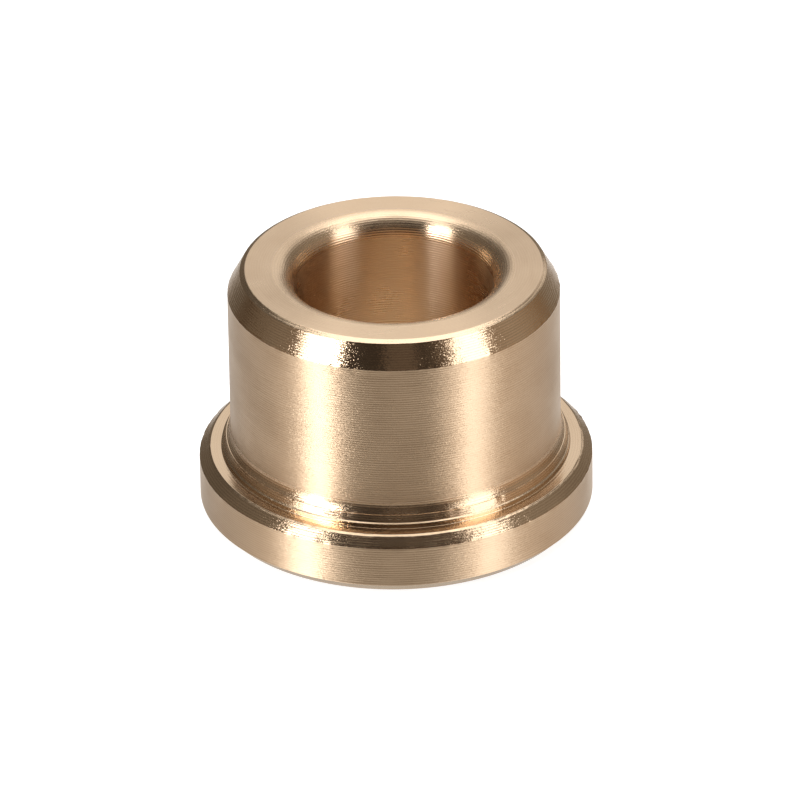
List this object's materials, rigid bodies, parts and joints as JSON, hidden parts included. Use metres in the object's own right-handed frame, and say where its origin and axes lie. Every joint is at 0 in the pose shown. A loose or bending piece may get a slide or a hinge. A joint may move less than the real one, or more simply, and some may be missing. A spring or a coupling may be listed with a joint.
{
  "type": "flanged sleeve bushing",
  "caption": "Turned bronze sleeve bushing with a flange at one end, a plain bore with a rounded mouth, and a sleeve with a lead-in chamfer that presses into a housing.",
  "frame": {"origin": "centre of the flange's bottom face, on the axis of the bore", "axes": "+Z along the bore axis, from the flange towards the sleeve's free end; the part is round, so X and Y are free"},
  "size_m": [0.0239, 0.0238, 0.0159],
  "materials": {
    "bronze": "fine turned, uncoated bearing bronze"
  },
  "bodies": {
    "root": {"bushing_body": "bronze"}
  },
  "joints": []
}
